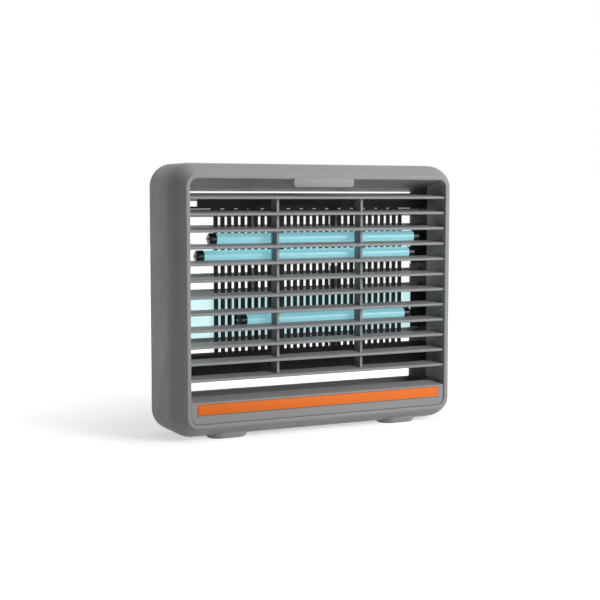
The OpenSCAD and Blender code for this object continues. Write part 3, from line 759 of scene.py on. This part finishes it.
class ZapperLamps(bpy.types.Operator):
    """Builds the three tubes with caps and contacts, and their two holders"""

    bl_idname = "zapper.lamps"
    bl_label = "Lamps"

    def execute(self, context):
        cap = coated("Cap black", colours().black, (0.2, 0.34), 500.0, 0.06, 0.2, 0.0, 0.0, 0.3)
        pin = plated("Contact plating", (0.78, 0.74, 0.66))
        for lamp in ("upper", "middle", "lower"):
            piece_from(lamp + "_tube", [tube_shape(lamp + "_lamp_glass")], lamp_glass(), "lamp_glass",
                       lamp + "_lamp_glass")
            piece_from(lamp + "_end_caps", cap_shapes(lamp), cap, "lamp_cap", lamp + "_lamp_caps")
            piece_from(lamp + "_contacts", pin_shapes(lamp), pin, "pin_metal", lamp + "_lamp_pins")
        for side in ("left", "right"):
            softened("lamp_holder_" + side, "lamp_post_" + side, black_plastic(),
                     0.3 * MM)
        finish_node(coated("Black insulation", colours().black, (0.3, 0.42)), "lamp_wiring")
        return {"FINISHED"}


# ---------------------------------------------------------------- tray and feet

class ZapperTray(bpy.types.Operator):
    """Builds the collecting tray and its coloured strip"""

    bl_idname = "zapper.tray"
    bl_label = "Collecting tray"

    def execute(self, context):
        softened("tray_moulding", "collecting_tray", grey_plastic(), 0.6 * MM)
        low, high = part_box("tray_strip")
        piece_from("tray_colour_strip", [slab(low, high, 0.6 * MM, 0.45 * MM)], orange_plastic(),
                   "orange_strip", "tray_strip")
        return {"FINISHED"}


def underside(y):
    """Height of the housing's underside at a depth: the flare's arc turned upside down."""
    s = sizes()
    radius = s.flare / (1 - cos(s.flare_slope))
    angle = np.arcsin(np.clip(sin(s.flare_slope) - (y - FRONT) / radius, 0, 1))
    out = s.ring + radius * (np.cos(angle) - cos(s.flare_slope))
    return HOUSING_LOW.z + s.ring + s.flare - out - 0.05 * MM


def front_foot(node):
    """A long round-ended pad that widens upwards and ends against the housing's underside.

    Each ring is a stadium outline at a share of the height; the top rings shrink inwards
    and follow the underside.
    """
    s = sizes()
    low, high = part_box(node)
    mid = np.array([(low.x + high.x) / 2, (low.y + high.y) / 2])
    turn = np.linspace(0, 2 * np.pi, 72, endpoint=False)
    way = np.column_stack([np.cos(turn), np.sin(turn)])
    core = mid + np.column_stack([np.where(np.cos(turn) >= 0, FOOT_HALF, -FOOT_HALF), np.zeros(len(turn))])
    share = np.linspace(0, 1, 6)
    rim = np.array([0.7, 0.2, 0, 0, 0, 0]) * MM
    top = underside(core[:, 1] + way[:, 1] * (FOOT_RADIUS + 2 * MM))
    rings = []
    for part, inset in zip(share, rim):
        z = part * top
        reach = FOOT_RADIUS + s.foot_grow * z / s.foot_height - inset
        rings.append(np.column_stack([core + way * reach[:, None], z]))
    for part in (0.7, 0.4, 0.1):
        flat = mid + (rings[5][:, :2] - mid) * part
        rings.append(np.column_stack([flat, underside(flat[:, 1])]))
    rings[5][:, 2] = underside(rings[5][:, 1])
    return stacked(rings)


def rear_pad(node):
    """A round rubber pad with a softened rim, turned round its upright axis."""
    low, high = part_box(node)
    r, h = (high.x - low.x) / 2, high.z
    profile = np.array([[0, 0], [0, r - 1.6 * MM], [0.15 * MM, r - 1.2 * MM], [0.5 * MM, r - 1 * MM],
                        [h, r], [h, 0]])
    return lathe(profile, ((low.x + high.x) / 2, (low.y + high.y) / 2, 0), "Z", 48)


class ZapperFeet(bpy.types.Operator):
    """Builds the two oval front feet and the two round rear pads"""

    bl_idname = "zapper.feet"
    bl_label = "Feet"

    def execute(self, context):
        moulded = coated("Foot grey", colours().foot, (0.45, 0.58), 900.0, 0.2, 0.1)
        rubber = coated("Foot rubber", (0.022, 0.022, 0.022), (0.7, 0.85), 700.0, 0.3, 0.3)
        for side in ("left", "right"):
            piece_from("front_pad_" + side, [front_foot("front_foot_" + side)], moulded, "foot_grey",
                       "front_foot_" + side)
            piece_from("rear_pad_" + side, [rear_pad("rear_foot_" + side)], rubber, "foot_rubber",
                       "rear_foot_" + side)
        return {"FINISHED"}


# ---------------------------------------------------------------- back and electronics

class ZapperBack(bpy.types.Operator):
    """Builds the rear cover with the mains inlet, the switch and its rocker"""

    bl_idname = "zapper.back"
    bl_label = "Back"

    def execute(self, context):
        softened("rear_cover_panel", "rear_cover", grey_plastic(), 0.5 * MM)
        for node in ("inlet_socket", "switch_body"):
            softened(node + "_moulding", node, black_plastic(), 0.3 * MM)
        rocker = coated("Rocker black", colours().black, (0.25, 0.4), 500.0, 0.08, 0.2, 0.0, 0.0, 0.2)
        softened("switch_rocker", "power_rocker", rocker, 0.5 * MM)
        finish_node(plated("Screw plating", colours().steel), "cover_screws", "frame_screws", "inlet_pins")
        return {"FINISHED"}


class ZapperElectronics(bpy.types.Operator):
    """Finishes the control board, what stands on it and the wiring"""

    bl_idname = "zapper.electronics"
    bl_label = "Electronics"

    def execute(self, context):
        finish_node(circuit_laminate(), "control_board")
        finishes = (
            ("Transformer tape", (0.55, 0.33, 0.05), (0.3, 0.45), 300.0, 0.3, 0.3, "hv_transformer"),
            ("Ballast case", (0.06, 0.06, 0.065), (0.35, 0.5), 500.0, 0.2, 0.2, "lamp_ballast"),
            ("Capacitor sleeve", (0.05, 0.09, 0.34), (0.2, 0.3), 200.0, 0.1, 0.2, "board_capacitors"),
            ("Fuse ceramic", (0.80, 0.76, 0.68), (0.25, 0.4), 400.0, 0.1, 0.1, "fuse"),
            ("Red insulation", (0.42, 0.03, 0.02), (0.3, 0.42), 900.0, 0.05, 0.08, "hv_leads"),
            ("Brown insulation", (0.16, 0.06, 0.025), (0.3, 0.42), 900.0, 0.05, 0.08, "mains_wiring"),
        )
        for name, base, rough, grain, height, drift, node in finishes:
            finish_node(coated(name, base, rough, grain, height, drift), node)
        return {"FINISHED"}


# ---------------------------------------------------------------- stage

WORLD_LIGHT = 0.09       # strength of the world on the object
FLOOR_WHITE = 0.58       # white of its own that the floor shows beside the object


def backdrop_rays(tree):
    """One where a ray comes from the camera, a gloss or a glass, and nought elsewhere."""
    path = add(tree, "ShaderNodeLightPath")
    either = maths(tree, "MAXIMUM", path.outputs["Is Camera Ray"], path.outputs["Is Glossy Ray"])
    return maths(tree, "MAXIMUM", either, path.outputs["Is Transmission Ray"])


def floor_material():
    """Pale matt floor that shows some white of its own to the camera, so it keeps its shadow.

    The share of white grows with the distance from the object, up to the plain backdrop.
    """
    material, tree, shader = new_material("Pale floor")
    point = add(tree, "ShaderNodeTexCoord").outputs["Object"]
    distance = add(tree, "ShaderNodeVectorMath", operation="LENGTH")
    tree.links.new(point, distance.inputs[0])
    far = spread(tree, distance.outputs["Value"], 0.22, 0.6, 0.0, 1.0)
    tint = use(tree, shared("Colour drift", drift_group), Colour=(*colours().floor, 1), Amount=0.01)
    tree.links.new(tint.outputs["Colour"], shader.inputs["Base Color"])
    shader.inputs["Roughness"].default_value = 0.9
    shader.inputs["Specular IOR Level"].default_value = 0.0
    glow = maths(tree, "MULTIPLY", backdrop_rays(tree), spread(tree, far, 0, 1, FLOOR_WHITE, 1.0))
    tree.links.new(glow, shader.inputs["Emission Strength"])
    shader.inputs["Emission Color"].default_value = (1, 1, 1, 1)
    return material


def world():
    """White behind everything the camera sees, and a plain soft light on the object."""
    made = bpy.data.worlds.new("Studio")
    made.use_nodes = True
    tree = made.node_tree
    background = tree.nodes["Background"]
    background.inputs["Color"].default_value = (1, 1, 1, 1)
    strength = spread(tree, backdrop_rays(tree), 0, 1, WORLD_LIGHT, 1.0)
    tree.links.new(strength, background.inputs["Strength"])
    bpy.context.scene.world = made


def area_light(name, place_at, aim, width, power):
    """A square soft light aimed at a point."""
    data = bpy.data.lights.new(name, "AREA")
    data.shape = "SQUARE"
    data.size = width
    data.energy = power
    lamp = bpy.data.objects.new(name, data)
    bpy.context.scene.collection.objects.link(lamp)
    lamp.location = place_at
    direction = np.array(aim) - np.array(place_at)
    lamp.rotation_euler = Vector(direction).to_track_quat("-Z", "Y").to_euler()


class ZapperStage(bpy.types.Operator):
    """Sets up the pale floor, the soft lights and the camera"""

    bl_idname = "zapper.stage"
    bl_label = "Stage"

    def execute(self, context):
        scene = context.scene
        bpy.ops.mesh.primitive_plane_add(size=12)
        floor = context.object
        floor.name = "floor"
        floor.data.materials.append(floor_material())
        world()
        middle = (0, 0, 0.16)
        area_light("key_light", (1.3, -1.7, 1.0), middle, 1.1, 40)
        area_light("top_light", (0.2, -0.2, 1.9), middle, 1.2, 9)
        lens = bpy.data.cameras.new("camera")
        lens.lens = 75
        lens.sensor_width = 36
        camera = bpy.data.objects.new("camera", lens)
        scene.collection.objects.link(camera)
        camera.location = (-0.6815, -1.3596, 0.2799)
        camera.rotation_euler = (radians(90 - 4.67), 0, radians(-26.25))
        scene.camera = camera
        scene.view_settings.view_transform = "Standard"
        return {"FINISHED"}


# ---------------------------------------------------------------- sidebar and registration

OPERATORS = (ZapperStage, ZapperHousing, ZapperLouvres, ZapperGrid, ZapperReflectors, ZapperLamps,
             ZapperTray, ZapperFeet, ZapperBack, ZapperElectronics)


class ZapperPanel(bpy.types.Panel):
    """Lists the sizes, the colours and the pieces of the zapper"""

    bl_idname = "VIEW3D_PT_zapper"
    bl_label = "Bug zapper"
    bl_space_type = "VIEW_3D"
    bl_region_type = "UI"
    bl_category = "Zapper"

    def draw(self, context):
        for group in (context.scene.zapper_sizes, context.scene.zapper_colours):
            for name in type(group).__annotations__:
                self.layout.prop(group, name)
        for operator in OPERATORS:
            self.layout.operator(operator.bl_idname)


CLASSES = (ZapperSizes, ZapperColours, *OPERATORS, ZapperPanel)


def register():
    """Registers the classes and hangs the sizes and colours on the scene."""
    for entry in CLASSES:
        bpy.utils.register_class(entry)
    bpy.types.Scene.zapper_sizes = PointerProperty(type=ZapperSizes)
    bpy.types.Scene.zapper_colours = PointerProperty(type=ZapperColours)


def unregister():
    """Takes away what register added."""
    del bpy.types.Scene.zapper_colours
    del bpy.types.Scene.zapper_sizes
    for entry in reversed(CLASSES):
        bpy.utils.unregister_class(entry)


def main():
    """Builds everything in order."""
    register()
    for operator in OPERATORS:
        group, call = operator.bl_idname.split(".")
        getattr(getattr(bpy.ops, group), call)()


if __name__ == "__main__":
    main()
